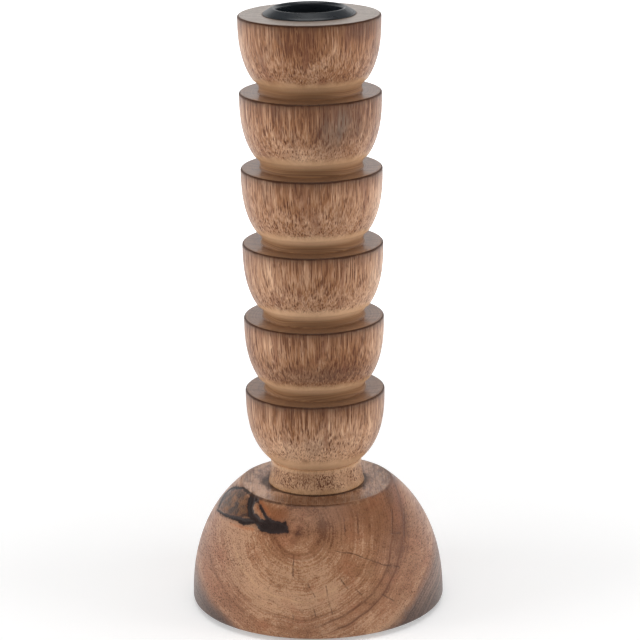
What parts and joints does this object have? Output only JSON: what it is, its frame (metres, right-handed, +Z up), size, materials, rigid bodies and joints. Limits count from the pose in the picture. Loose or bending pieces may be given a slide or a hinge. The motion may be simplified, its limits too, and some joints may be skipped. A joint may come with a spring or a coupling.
{
  "type": "candle holder",
  "caption": "Turned wooden candle holder: a stem of stacked bowls on a domed base, with a lift-out black metal cup at the top for a dinner candle.",
  "frame": {"origin": "on the table, at the middle of the circle that the felt pads stand on", "axes": "+Z up along the stem; the picture's camera looks along +Y, with +X to the right"},
  "size_m": [0.0914, 0.0914, 0.2178],
  "materials": {
    "base_wood": "satin clear finish over warm brown wood, level grain",
    "stem_wood": "satin clear finish over tan brown wood, upright grain",
    "cup_metal": "satin black",
    "fastener_steel": "zinc plated",
    "pad_felt": "pressed wool felt"
  },
  "bodies": {
    "holder": {"dome_base": "base_wood", "turned_stem": "stem_wood", "stem_screw": "fastener_steel", "screw_washer": "fastener_steel", "felt_pad_1": "pad_felt", "felt_pad_2": "pad_felt", "felt_pad_3": "pad_felt", "felt_pad_4": "pad_felt"},
    "candle_insert": {"candle_cup": "cup_metal"}
  },
  "joints": [
    {"name": "cup_lift", "type": "slide", "parent": "holder", "child": "candle_insert", "axis": [0, 0, 1], "range_m": [0, 0.03]}
  ]
}
